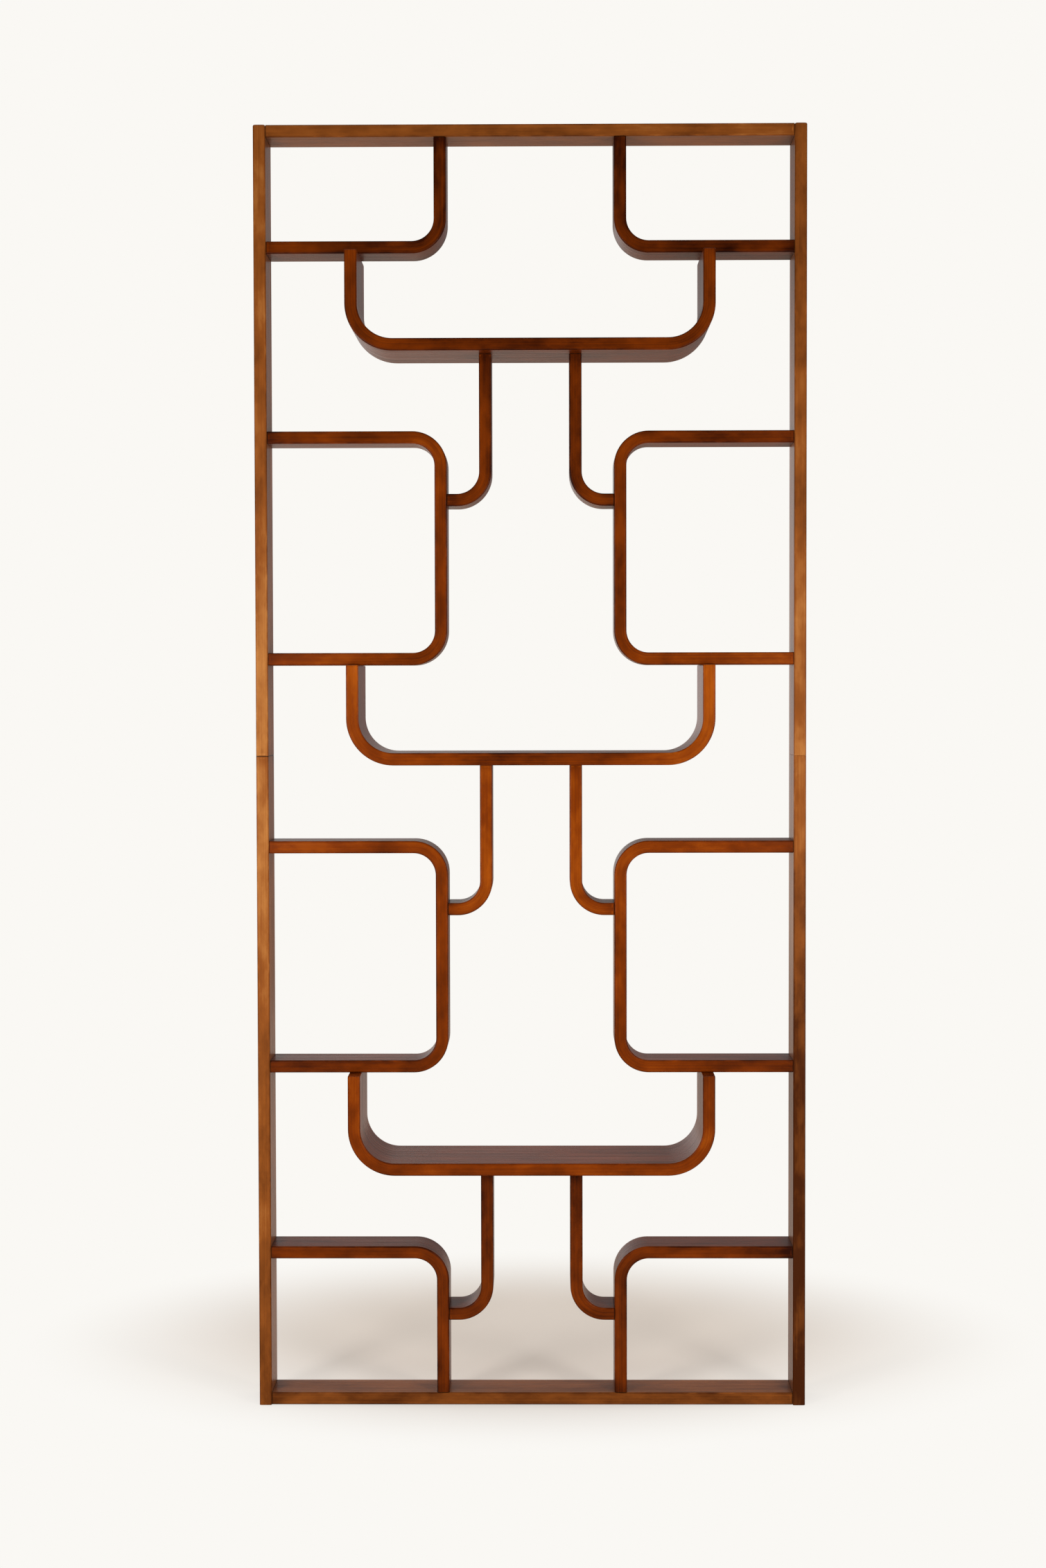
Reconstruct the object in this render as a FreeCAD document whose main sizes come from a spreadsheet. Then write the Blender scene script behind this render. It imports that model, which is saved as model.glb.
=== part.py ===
import FreeCAD, Part
import math
import os
from enum import IntEnum
from types import SimpleNamespace

import Sketcher

# A see-through room divider of bent, laminated boards.
# Two spliced uprights and two rails make a frame. Corner shelves, side boxes, trays and hooks, each one
# board bent to shape, fill it and meet each other end to face on hidden dowels.
# Millimetres. X runs across the screen, Y through its depth, Z up. The origin is on the floor, at the
# middle of the base. Every right-hand piece is its left-hand twin turned half a turn about Z.

# Driving sizes: name, millimetres, meaning
DRIVING_SIZES = (
    ("board_thickness", 22.5, "thickness of every board"),
    ("frame_depth", 100, "depth of the uprights, front to back"),
    ("member_setback", 3, "how far rails, shelves, boxes and hooks lie behind the upright's edge"),
    ("edge_round", 3, "radius of every eased long edge"),
    ("hook_gap", 141, "clear width between the two hooks of a pair"),
    ("hook_width", 81, "outer width of a hook, from its leg's far face to the end of its toe"),
    ("box_width", 326, "outer width of a side box or corner shelf, from the upright"),
    ("bottom_shelf_height", 270, "outer height of a bottom corner shelf above the bottom rail"),
    ("level_gap", 320, "clear height from one level's underside down to the next level's top"),
    ("box_height", 424, "outer height of a side box"),
    ("top_shelf_height", 209, "outer height of a top corner shelf below the top rail"),
    ("tray_inset", 145, "distance from an upright to the outside of a tray's leg"),
    ("tray_depth", 195, "depth of a tray, front to back"),
    ("tray_height", 181, "outer height of a tray"),
    ("hook_toe_drop", 113.5, "distance from a box's top down to the top of a hook's toe"),
    ("splice_drop", 165, "distance from the upper boxes down to the splice in the uprights"),
    ("bend_radius", 63, "outer bend radius of shelves, boxes and hooks"),
    ("tray_bend_radius", 85, "outer bend radius of a tray"),
    ("dowel_diameter", 8, "diameter of a dowel"),
    ("dowel_spacing", 50, "distance between the two dowels of a joint"),
    ("dowel_clearance", 0.1, "play between a dowel and the wall of its hole"),
    ("dowel_end_room", 0.5, "room left between a dowel's end and the floor of its hole"),
    ("dowel_skin", 8.5, "wood left behind a hole drilled into a board's face"),
    ("dowel_end_depth", 18, "depth of a hole drilled into a board's end"),
    ("splice_dowel_depth", 40, "depth of a splice's hole in each half of an upright"),
)

# Two points this share of a board's thickness apart count as one
TOUCH_SHARE = 1e-4
# A hole's removed wood may differ from its formula by this share
VOLUME_SHARE = 1e-3

SIDES = ("left", "right")
ACROSS = FreeCAD.Vector(1, 0, 0)
THROUGH = FreeCAD.Vector(0, 1, 0)
UP = FreeCAD.Vector(0, 0, 1)
QUARTER_TURN = 90
HALF_TURN = 180


class SketchAxis(IntEnum):
    """The numbers that a sketch gives to its own two axes."""

    LEVEL = -1
    UPRIGHT = -2


class PointOf(IntEnum):
    """The numbers that a sketch gives to the points of a line or an arc."""

    START = 1
    END = 2
    CENTRE = 3


# A sketch's origin counts as the start of its level axis
SKETCH_ORIGIN = (SketchAxis.LEVEL, PointOf.START)

doc = FreeCAD.newDocument("room_divider")
sheet = doc.addObject("Spreadsheet::Sheet", "sizes")
for row, (alias, number, meaning) in enumerate(DRIVING_SIZES, start=1):
    sheet.set(f"A{row}", meaning)
    sheet.set(f"B{row}", str(number))
    sheet.setAlias(f"B{row}", alias)
doc.recompute()


class Size:
    """A length worked out from the sheet: the formula that drives it, and what it comes to now."""

    def __init__(self, formula, value):
        self.formula = formula
        self.value = value

    def __add__(self, other):
        return Size(f"({self.formula} + {other.formula})", self.value + other.value)

    def __sub__(self, other):
        return Size(f"({self.formula} - {other.formula})", self.value - other.value)

    def __neg__(self):
        return Size(f"(0 - {self.formula})", -self.value)

    def half(self):
        return Size(f"({self.formula} / 2)", self.value / 2)

    def twice(self):
        return Size(f"({self.formula} * 2)", self.value * 2)


ZERO = Size("0", 0)
sz = SimpleNamespace()
for alias, _, _ in DRIVING_SIZES:
    setattr(sz, alias, Size(f"sizes.{alias}", float(sheet.get(alias))))

# Widths, counted from the middle of the screen
half_board = sz.board_thickness.half()
hook_face = sz.hook_gap.half()
box_face = hook_face + sz.hook_width
upright_face = box_face + sz.box_width
clear_width = upright_face.twice()
tray_side = upright_face - sz.tray_inset
tray_width = tray_side.twice()

# Levels, counted up from the floor
bottom_shelf_top = sz.board_thickness + sz.bottom_shelf_height
lower_box_base = bottom_shelf_top + sz.level_gap
lower_box_top = lower_box_base + sz.box_height
upper_box_base = lower_box_top + sz.level_gap
upper_box_top = upper_box_base + sz.box_height
top_shelf_base = upper_box_top + sz.level_gap
top_rail_base = top_shelf_base + sz.top_shelf_height
overall_height = top_rail_base + sz.board_thickness
splice_level = upper_box_base - sz.splice_drop

# Middle of the leg of a corner shelf, and of a tray, counted from the upright
shelf_leg_middle = sz.box_width - half_board
tray_leg_middle = sz.tray_inset + half_board

# A hook reaches from a tray's underside down to its toe on the box below
toe_middle_drop = sz.hook_toe_drop + half_board
toe_base_drop = sz.hook_toe_drop + sz.board_thickness
hook_height = sz.level_gap - sz.tray_height + toe_base_drop

member_depth = sz.frame_depth - sz.member_setback.twice()
hole_radius = sz.dowel_diameter.half() + sz.dowel_clearance
face_depth = sz.board_thickness - sz.dowel_skin
end_depth = sz.dowel_end_depth

nodes = []


def bind(thing, prop, length):
    """Let the sheet drive one property."""
    thing.setExpression(prop, length.formula)


def new_sketch(body, name, role, offset=ZERO):
    """Start a sketch on one of the piece's own planes, or on one parallel to it."""
    sketch = body.newObject("Sketcher::SketchObject", name)
    plane = next(feature for feature in body.Origin.OriginFeatures if feature.Role == role)
    sketch.AttachmentSupport = (plane, [""])
    sketch.MapMode = "FlatFace"
    bind(sketch, "AttachmentOffset.Base.z", offset)
    return sketch


def dimension(sketch, length, kind, *points):
    """Add a dimension to a sketch and let the sheet drive it."""
    index = sketch.addConstraint(Sketcher.Constraint(kind, *points, length.value))
    bind(sketch, f"Constraints[{index}]", length)


def place(sketch, kind, point, length):
    """Hold a point at its distance from the sketch's origin, on either side of it."""
    if length is ZERO:
        axis = SketchAxis.UPRIGHT if kind == "DistanceX" else SketchAxis.LEVEL
        sketch.addConstraint(Sketcher.Constraint("PointOnObject", *point, axis))
    elif length.value < 0:
        dimension(sketch, -length, kind, *point, *SKETCH_ORIGIN)
    else:
        dimension(sketch, length, kind, *SKETCH_ORIGIN, *point)


def is_level(heading):
    return abs(heading.x) > abs(heading.y)


def add_line(sketch, start, end):
    """Add a level or upright line."""
    line = sketch.addGeometry(Part.LineSegment(start, end))
    direction = "Horizontal" if is_level(end - start) else "Vertical"
    sketch.addConstraint(Sketcher.Constraint(direction, line))
    return line


def add_bend(sketch, corner, heading, next_heading, radius, inset):
    """Add the quarter arc of a right-hand turn, inset from the board's outer face."""
    centre = corner - heading * radius + next_heading * radius
    first_angle = math.atan2(heading.y, heading.x)
    last_angle = first_angle + math.radians(QUARTER_TURN)
    circle = Part.Circle(centre, UP, radius - inset)
    return sketch.addGeometry(Part.ArcOfCircle(circle, first_angle, last_angle))


def draw_face(sketch, points, headings, radius, inset):
    """Draw one face of a board, from end to end, with its bends tangent to its straight runs."""
    last = len(headings) - 1
    lines = []
    for i, heading in enumerate(headings):
        inward = heading.cross(UP) * inset
        run_in = heading * radius if i > 0 else heading * 0
        run_out = heading * radius if i < last else heading * 0
        lines.append(add_line(sketch, points[i] + inward + run_in, points[i + 1] + inward - run_out))
    bends = []
    for i in range(last):
        bend = add_bend(sketch, points[i + 1], headings[i], headings[i + 1], radius, inset)
        sketch.addConstraint(Sketcher.Constraint("Tangent", lines[i], PointOf.END, bend, PointOf.END))
        sketch.addConstraint(Sketcher.Constraint("Tangent", bend, PointOf.START, lines[i + 1], PointOf.START))
        bends.append(bend)
    return lines, bends


def draw_board(sketch, corners, radius):
    """Draw a board on edge, running through its outer corners and turning right at each of them."""
    thickness = sz.board_thickness
    points = [FreeCAD.Vector(x.value, z.value, 0) for x, z in corners]
    headings = [(b - a).normalize() for a, b in zip(points, points[1:])]
    outer_lines, outer_bends = draw_face(sketch, points, headings, radius.value, 0)
    inner_lines, inner_bends = draw_face(sketch, points, headings, radius.value, thickness.value)
    for outer, inner in zip(outer_bends, inner_bends):
        sketch.addConstraint(Sketcher.Constraint("Coincident", outer, PointOf.CENTRE, inner, PointOf.CENTRE))
        dimension(sketch, radius, "Radius", outer)

    caps = []
    for i, end in ((0, PointOf.START), (-1, PointOf.END)):
        inward = headings[i].cross(UP) * thickness.value
        cap = add_line(sketch, points[i], points[i] + inward)
        sketch.addConstraint(Sketcher.Constraint("Coincident", cap, PointOf.START, outer_lines[i], end))
        sketch.addConstraint(Sketcher.Constraint("Coincident", cap, PointOf.END, inner_lines[i], end))
        caps.append(cap)
    dimension(sketch, thickness, "Distance", caps[0])

    for line, heading, (x, z) in zip(outer_lines, headings, corners):
        if is_level(heading):
            place(sketch, "DistanceY", (line, PointOf.START), z)
        else:
            place(sketch, "DistanceX", (line, PointOf.START), x)
    for i, end in ((0, PointOf.START), (-1, PointOf.END)):
        x, z = corners[i]
        if is_level(headings[i]):
            place(sketch, "DistanceX", (outer_lines[i], end), x)
        else:
            place(sketch, "DistanceY", (outer_lines[i], end), z)
    return points, headings


def eased_edges(shape, depth, points, headings, ease_tips, ease_start):
    """List the edges along a board's front and back, with those of its ends where they stand free."""
    touch = sz.board_thickness.value * TOUCH_SHARE
    names = []
    for number, edge in enumerate(shape.Edges, start=1):
        middle = edge.CenterOfMass
        flat_middle = FreeCAD.Vector(middle.x, middle.z, 0)
        at_start = abs((flat_middle - points[0]).dot(headings[0])) < touch
        at_end = abs((flat_middle - points[-1]).dot(headings[-1])) < touch
        on_side = abs(abs(middle.y) - depth.value / 2) < touch
        along = on_side and not at_start and not at_end
        if along or (ease_tips and on_side) or (ease_start and at_start):
            names.append(f"Edge{number}")
    return names


def make_board(name, side, x, z, depth, corners, radius=ZERO, ease_tips=False, ease_start=False):
    """Make one board, whose own origin lies at (x, z) on its side of the screen.

    Its long edges are eased. The front and back edges of both its ends are too if they stand out of the
    joint (ease_tips), and its first end is rounded all the way if it stands free (ease_start).
    """
    body = doc.addObject("PartDesign::Body", name)
    body.Label = name
    if side == "right":
        body.Placement.Rotation = FreeCAD.Rotation(UP, HALF_TURN)
    bind(body, "Placement.Base.x", x if side == "right" else -x)
    bind(body, "Placement.Base.z", z)

    outline = new_sketch(body, "Outline", "XZ_Plane")
    points, headings = draw_board(outline, corners, radius)
    pad = body.newObject("PartDesign::Pad", "Board")
    pad.Profile = outline
    pad.SideType = "Symmetric"
    bind(pad, "Length", depth)
    doc.recompute()

    easing = body.newObject("PartDesign::Fillet", "EasedEdges")
    easing.Base = (pad, eased_edges(pad.Shape, depth, points, headings, ease_tips, ease_start))
    bind(easing, "Radius", sz.edge_round)
    doc.recompute()
    nodes.append(body)
    return body


def drill(body, role, offset, stations, depth, forwards):
    """Drill a pair of dowel holes at each station along a board, in the plane's direction or against it."""
    wood_before = body.Shape.Volume
    sketch = new_sketch(body, "Holes", role, offset)
    stations_rise = role == "YZ_Plane"
    axis = SketchAxis.UPRIGHT if stations_rise else SketchAxis.LEVEL
    spacing_kind, station_kind = ("DistanceX", "DistanceY") if stations_rise else ("DistanceY", "DistanceX")
    half_spacing = sz.dowel_spacing.value / 2
    for station in stations:
        middles = []
        for y in (-half_spacing, half_spacing):
            u, v = (y, station.value) if stations_rise else (station.value, y)
            hole = sketch.addGeometry(Part.Circle(FreeCAD.Vector(u, v, 0), UP, hole_radius.value))
            dimension(sketch, hole_radius, "Radius", hole)
            middles.append((hole, PointOf.CENTRE))
        first, second = middles
        sketch.addConstraint(Sketcher.Constraint("Symmetric", *first, *second, axis))
        dimension(sketch, sz.dowel_spacing, spacing_kind, *first, *second)
        place(sketch, station_kind, first, station)

    pocket = body.newObject("PartDesign::Pocket", "DowelHoles")
    pocket.Profile = sketch
    pocket.Reversed = forwards
    bind(pocket, "Length", depth)
    doc.recompute()
    drilled = 2 * len(stations) * math.pi * hole_radius.value ** 2 * depth.value
    if abs(wood_before - body.Shape.Volume - drilled) > VOLUME_SHARE * drilled:
        raise RuntimeError(f"{body.Label}: the holes in {sketch.Name} are not cut to their depth")


def make_uprights():
    """Two halves on each side, spliced end to end, with every board's end dowelled to their inner face."""
    lower_joints = [
        half_board,
        bottom_shelf_top - half_board,
        lower_box_base + half_board,
        lower_box_top - half_board,
    ]
    upper_joints = [
        upper_box_base + half_board,
        upper_box_top - half_board,
        top_shelf_base + half_board,
        overall_height - half_board,
    ]
    upper_length = overall_height - splice_level
    for side in SIDES:
        run = [(ZERO, splice_level), (ZERO, ZERO)]
        lower = make_board(f"{side}_upright_lower", side, upright_face, ZERO, sz.frame_depth, run)
        drill(lower, "YZ_Plane", ZERO, lower_joints, face_depth, False)
        drill(lower, "XY_Plane", splice_level, [-half_board], sz.splice_dowel_depth, False)

        run = [(ZERO, upper_length), (ZERO, ZERO)]
        upper = make_board(
            f"{side}_upright_upper", side, upright_face, splice_level, sz.frame_depth, run, ease_start=True
        )
        drill(upper, "YZ_Plane", ZERO, [level - splice_level for level in upper_joints], face_depth, False)
        drill(upper, "XY_Plane", ZERO, [-half_board], sz.splice_dowel_depth, True)


def make_rails():
    """A rail at the top and one at the bottom, between the uprights."""
    run = [(ZERO, sz.board_thickness), (clear_width, sz.board_thickness)]
    legs = [shelf_leg_middle, clear_width - shelf_leg_middle]
    for name, base, leg_plane, forwards in (
        ("top_rail", top_rail_base, ZERO, True),
        ("bottom_rail", ZERO, sz.board_thickness, False),
    ):
        rail = make_board(name, "left", upright_face, base, member_depth, run)
        drill(rail, "YZ_Plane", ZERO, [half_board], end_depth, True)
        drill(rail, "YZ_Plane", clear_width, [half_board], end_depth, False)
        drill(rail, "XY_Plane", leg_plane, legs, face_depth, forwards)


def make_corner_shelves():
    """A shelf in each corner: two hang from the top rail, two stand on the bottom rail."""
    width = sz.box_width
    drop = sz.top_shelf_height
    rise = sz.bottom_shelf_height
    for side in SIDES:
        run = [(width, drop), (width, ZERO), (ZERO, ZERO)]
        top = make_board(
            f"top_{side}_corner_shelf", side, upright_face, top_shelf_base, member_depth, run, sz.bend_radius
        )
        drill(top, "YZ_Plane", ZERO, [half_board], end_depth, True)
        drill(top, "XY_Plane", drop, [shelf_leg_middle], end_depth, False)
        drill(top, "XY_Plane", ZERO, [tray_leg_middle], face_depth, True)

        run = [(ZERO, rise), (width, rise), (width, ZERO)]
        bottom = make_board(
            f"bottom_{side}_corner_shelf", side, upright_face, sz.board_thickness, member_depth, run,
            sz.bend_radius,
        )
        drill(bottom, "YZ_Plane", ZERO, [rise - half_board], end_depth, True)
        drill(bottom, "XY_Plane", ZERO, [shelf_leg_middle], end_depth, True)
        drill(bottom, "YZ_Plane", width, [rise - toe_middle_drop], face_depth, False)


def make_boxes():
    """Two boxes on each side, both ends of each on the upright, a hook's toe on its far wall."""
    width = sz.box_width
    height = sz.box_height
    run = [(ZERO, height), (width, height), (width, ZERO), (ZERO, ZERO)]
    for level, base in (("lower", lower_box_base), ("upper", upper_box_base)):
        for side in SIDES:
            box = make_board(
                f"{level}_{side}_box", side, upright_face, base, member_depth, run, sz.bend_radius
            )
            drill(box, "YZ_Plane", ZERO, [half_board, height - half_board], end_depth, True)
            drill(box, "XY_Plane", ZERO, [tray_leg_middle], face_depth, True)
            drill(box, "YZ_Plane", width, [height - toe_middle_drop], face_depth, False)


def make_trays():
    """Three deep trays, each hung by its two legs, with a pair of hooks under it."""
    height = sz.tray_height
    run = [(tray_width, height), (tray_width, ZERO), (ZERO, ZERO), (ZERO, height)]
    legs = [half_board, tray_width - half_board]
    hooks = [tray_side - hook_face - half_board, tray_side + hook_face + half_board]
    for level, hung_from in (
        ("lower", lower_box_base),
        ("middle", upper_box_base),
        ("upper", top_shelf_base),
    ):
        base = hung_from - height
        tray = make_board(
            f"{level}_tray", "left", tray_side, base, sz.tray_depth, run, sz.tray_bend_radius, ease_tips=True
        )
        drill(tray, "XY_Plane", height, legs, end_depth, False)
        drill(tray, "XY_Plane", ZERO, hooks, face_depth, True)


def make_hooks():
    """A pair of hooks under each tray, their toes on the boxes or on the bottom corner shelves."""
    run = [(sz.hook_width, hook_height), (sz.hook_width, ZERO), (ZERO, ZERO)]
    for level, top in (("lower", bottom_shelf_top), ("middle", lower_box_top), ("upper", upper_box_top)):
        for side in SIDES:
            hook = make_board(
                f"{level}_{side}_hook", side, box_face, top - toe_base_drop, member_depth, run, sz.bend_radius
            )
            drill(hook, "YZ_Plane", ZERO, [half_board], end_depth, True)
            drill(hook, "XY_Plane", hook_height, [sz.hook_width - half_board], end_depth, False)


def add_dowels(pins, axis, x, z, depth_before, depth_after):
    """Set the two dowels of a joint, with the depths of their holes before and after it on the axis."""
    length = depth_before + depth_after - sz.dowel_end_room.twice()
    back = depth_before - sz.dowel_end_room
    for y in (sz.dowel_spacing.half(), -sz.dowel_spacing.half()):
        pin = doc.addObject("Part::Cylinder", "Dowel")
        if axis is ACROSS:
            pin.Placement.Rotation = FreeCAD.Rotation(THROUGH, QUARTER_TURN)
        bind(pin, "Radius", sz.dowel_diameter.half())
        bind(pin, "Height", length)
        bind(pin, "Placement.Base.x", x - back if axis is ACROSS else x)
        bind(pin, "Placement.Base.y", y)
        bind(pin, "Placement.Base.z", z if axis is ACROSS else z - back)
        pins.append(pin)


def end_joints(pins, x, levels):
    """Dowel boards' ends to a face that stands x from the middle, on both sides of the screen."""
    for z in levels:
        add_dowels(pins, ACROSS, -x, z, face_depth, end_depth)
        add_dowels(pins, ACROSS, x, z, end_depth, face_depth)


def hung_joints(pins, x, levels):
    """Dowel boards' upper ends to the underside of the boards that carry them."""
    for z in levels:
        for place_x in (-x, x):
            add_dowels(pins, UP, place_x, z, end_depth, face_depth)


def standing_joints(pins, x, levels, depth_below, depth_above):
    """Dowel boards' lower ends to what they stand on."""
    for z in levels:
        for place_x in (-x, x):
            add_dowels(pins, UP, place_x, z, depth_below, depth_above)


def make_dowel_group(name, pins):
    """Gather the dowels of one kind of joint."""
    group = doc.addObject("Part::Compound", name)
    group.Label = name
    group.Links = pins
    nodes.append(group)


def make_dowels():
    """Two dowels in every joint, grouped by the pieces that they hold."""
    rail_pins = []
    end_joints(rail_pins, upright_face, [half_board, overall_height - half_board])
    make_dowel_group("rail_dowels", rail_pins)

    shelf_pins = []
    end_joints(shelf_pins, upright_face, [bottom_shelf_top - half_board, top_shelf_base + half_board])
    hung_joints(shelf_pins, box_face + half_board, [top_rail_base])
    standing_joints(shelf_pins, box_face + half_board, [sz.board_thickness], face_depth, end_depth)
    make_dowel_group("corner_shelf_dowels", shelf_pins)

    box_pins = []
    for base, top in ((lower_box_base, lower_box_top), (upper_box_base, upper_box_top)):
        end_joints(box_pins, upright_face, [base + half_board, top - half_board])
    make_dowel_group("box_dowels", box_pins)

    hanging_levels = [lower_box_base, upper_box_base, top_shelf_base]
    tray_pins = []
    hung_joints(tray_pins, tray_side - half_board, hanging_levels)
    make_dowel_group("tray_dowels", tray_pins)

    hook_top_pins = []
    hung_joints(hook_top_pins, hook_face + half_board, [level - sz.tray_height for level in hanging_levels])
    make_dowel_group("hook_top_dowels", hook_top_pins)

    toe_tops = [bottom_shelf_top, lower_box_top, upper_box_top]
    hook_toe_pins = []
    end_joints(hook_toe_pins, box_face, [top - toe_middle_drop for top in toe_tops])
    make_dowel_group("hook_toe_dowels", hook_toe_pins)

    splice_pins = []
    splice_depth = sz.splice_dowel_depth
    standing_joints(splice_pins, upright_face + half_board, [splice_level], splice_depth, splice_depth)
    make_dowel_group("upright_splice_dowels", splice_pins)


def check_and_write():
    """Stop on any failed object or bad solid, then write each piece to its own file."""
    doc.recompute()
    for thing in doc.Objects:
        if "Invalid" in thing.State or "Error" in thing.State:
            raise RuntimeError(f"{thing.Label} failed: {thing.State}")
    for node in nodes:
        expected = len(node.Links) if node.TypeId == "Part::Compound" else 1
        if node.Shape.isNull() or not node.Shape.isValid():
            raise RuntimeError(f"{node.Label} is not a valid shape")
        if len(node.Shape.Solids) != expected:
            raise RuntimeError(f"{node.Label} has {len(node.Shape.Solids)} solids, not {expected}")
    os.makedirs("parts", exist_ok=True)
    for node in nodes:
        node.Shape.exportStep(f"parts/{node.Label}.step")
    print(f"{len(nodes)} pieces, {clear_width.value + sz.board_thickness.value * 2:g} mm wide, "
          f"{overall_height.value:g} mm high, hooks {hook_height.value:g} mm")


make_uprights()
make_rails()
make_corner_shelves()
make_boxes()
make_trays()
make_hooks()
make_dowels()
check_and_write()
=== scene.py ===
# %% [markdown]
# # A see-through room divider in bent wood
#
# The real screen is a tall frame of two uprights and two rails. Shelves, boxes, trays and hooks fill it, and
# each of them is one board, glued up from thin veneers and pressed round a former while the glue was wet.
# The measured model already says where every board lies, so it is loaded first. This lesson gives the boards
# their finished shape and their lacquered grain, then sets up a plain studio round them. Lengths are in
# metres.

# %% Load the measured screen
import math
from collections import namedtuple

import bpy
from mathutils import Matrix, Vector


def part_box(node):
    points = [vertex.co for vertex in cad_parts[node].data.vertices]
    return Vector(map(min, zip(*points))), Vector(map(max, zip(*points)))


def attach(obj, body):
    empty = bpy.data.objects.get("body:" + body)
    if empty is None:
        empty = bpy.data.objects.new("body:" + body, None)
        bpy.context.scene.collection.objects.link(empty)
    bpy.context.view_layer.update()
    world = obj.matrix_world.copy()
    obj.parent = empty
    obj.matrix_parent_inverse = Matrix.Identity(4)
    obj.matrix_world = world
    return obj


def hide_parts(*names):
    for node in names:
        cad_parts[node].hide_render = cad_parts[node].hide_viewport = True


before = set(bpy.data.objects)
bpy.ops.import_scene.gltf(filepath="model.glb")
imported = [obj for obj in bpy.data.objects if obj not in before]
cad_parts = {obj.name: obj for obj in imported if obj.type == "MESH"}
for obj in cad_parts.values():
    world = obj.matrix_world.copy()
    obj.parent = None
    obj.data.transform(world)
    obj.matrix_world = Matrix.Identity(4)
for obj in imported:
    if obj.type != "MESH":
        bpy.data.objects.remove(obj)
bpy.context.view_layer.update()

print("measured pieces:", len(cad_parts))

# %% [markdown]
# ## A few helpers for node trees
#
# Geometry and material trees are built the same way: add a node, set its options, then give each input
# either a plain value or a wire from another node. These short helpers do that, so that the later cells
# read as a list of steps. A node such as Mix holds hidden sockets with the same names, one set for each
# kind of data, so a socket is looked up among the ones in use.

# %% Helpers: groups, nodes and wires
SOCKET_KINDS = {
    "number": "NodeSocketFloat",
    "vector": "NodeSocketVector",
    "geometry": "NodeSocketGeometry",
    "material": "NodeSocketMaterial",
}


def numbers(*labels):
    """Describe sockets that all hold numbers."""
    return dict.fromkeys(labels, "number")


def start_group(name, tree_kind, inputs, outputs):
    """Start a node group with named inputs and outputs, and give back its tree and both ends."""
    tree = bpy.data.node_groups.new(name, tree_kind)
    for in_out, sockets in (("INPUT", inputs), ("OUTPUT", outputs)):
        for label, kind in sockets.items():
            tree.interface.new_socket(label, in_out=in_out, socket_type=SOCKET_KINDS[kind])
    given = tree.nodes.new("NodeGroupInput").outputs
    result = tree.nodes.new("NodeGroupOutput").inputs
    return tree, given, result


def feed(tree, socket, value):
    """Wire another node's output into a socket, or set a plain value on it."""
    if isinstance(value, bpy.types.NodeSocket):
        tree.links.new(value, socket)
    else:
        socket.default_value = value


def in_use(sockets, label):
    """Find the socket of that name that the node's options leave in use."""
    return next(socket for socket in sockets if socket.name == label and socket.enabled)


def add(tree, kind, inputs=None, **options):
    """Add a node, set its options and feed its inputs."""
    node = tree.nodes.new(kind)
    for option, value in options.items():
        setattr(node, option, value)
    for label, value in (inputs or {}).items():
        feed(tree, in_use(node.inputs, label), value)
    return node


def inputs_of(group):
    """List the inputs of a group."""
    return [item for item in group.interface.items_tree if item.in_out == "INPUT"]


def use_group(tree, group, sockets=None):
    """Place a group, feed each input from the socket of the same name, and give back its outputs."""
    kind = "GeometryNodeGroup" if tree.bl_idname == "GeometryNodeTree" else "ShaderNodeGroup"
    inputs = {item.name: sockets[item.name] for item in inputs_of(group)}
    return add(tree, kind, inputs, node_tree=group).outputs


print("socket kinds:", ", ".join(SOCKET_KINDS))

# %% [markdown]
# Numbers and vectors are worked out by small Math nodes. These helpers add the ones that the trees need,
# from a single sum to a soft step, a mask that fades with distance and a blend of two values.

# %% Helpers: sums, fades and blends
def calc(tree, operation, *values, kind="ShaderNodeMath"):
    """Add a Math node and give back its result."""
    node = add(tree, kind, operation=operation)
    sockets = [socket for socket in node.inputs if socket.enabled]
    for socket, value in zip(sockets, values):
        feed(tree, socket, value)
    return next(socket for socket in node.outputs if socket.enabled)


def vector_calc(tree, operation, *values):
    """Add a Vector Math node and give back its result."""
    return calc(tree, operation, *values, kind="ShaderNodeVectorMath")


def add_up(tree, total, *parts):
    """Add values to a total, each given with its weight."""
    for value, weight in parts:
        total = calc(tree, "MULTIPLY_ADD", value, weight, total)
    return total


def vector(tree, x, y, z):
    """Join three numbers into a vector."""
    return add(tree, "ShaderNodeCombineXYZ", {"X": x, "Y": y, "Z": z}).outputs[0]


def parts_of(tree, value):
    """Split a vector into its X, Y and Z."""
    return add(tree, "ShaderNodeSeparateXYZ", {"Vector": value}).outputs


def fade(tree, value, start, end, first=0.0, last=1.0):
    """Ease from first to last as the value goes from start to end."""
    inputs = {"Value": value, "From Min": start, "From Max": end, "To Min": first, "To Max": last}
    return add(tree, "ShaderNodeMapRange", inputs, interpolation_type="SMOOTHSTEP").outputs[0]


def near(tree, distance, band, strength=1.0):
    """Give the full strength before the band, and nothing beyond it."""
    return fade(tree, distance, *band, strength, 0.0)


def blend(tree, share, under, over, data_type="FLOAT"):
    """Lay one value or colour over another by a share."""
    node = add(tree, "ShaderNodeMix", {"Factor": share, "A": under, "B": over}, data_type=data_type)
    return in_use(node.outputs, "Result")


print("helpers for numbers: calc, vector_calc, add_up, vector, parts_of, fade, near and blend")

# %% [markdown]
# ## The path of a bent board
#
# A bent board has the same section from end to end. It could be box modelled and bevelled, but then each
# bend would be shaped by hand. Here Geometry Nodes sweep the section along a path, as the veneers follow
# their former. The path starts as a chain of corner points, and Fillet Curve turns each corner into a bend.
# It also writes down how far along the board each point lies, so that the grain can follow the bends.

# %% Geometry group: path of a board
BEND_STEPS = 20
THROUGH = (0.0, 1.0, 0.0)


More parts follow.
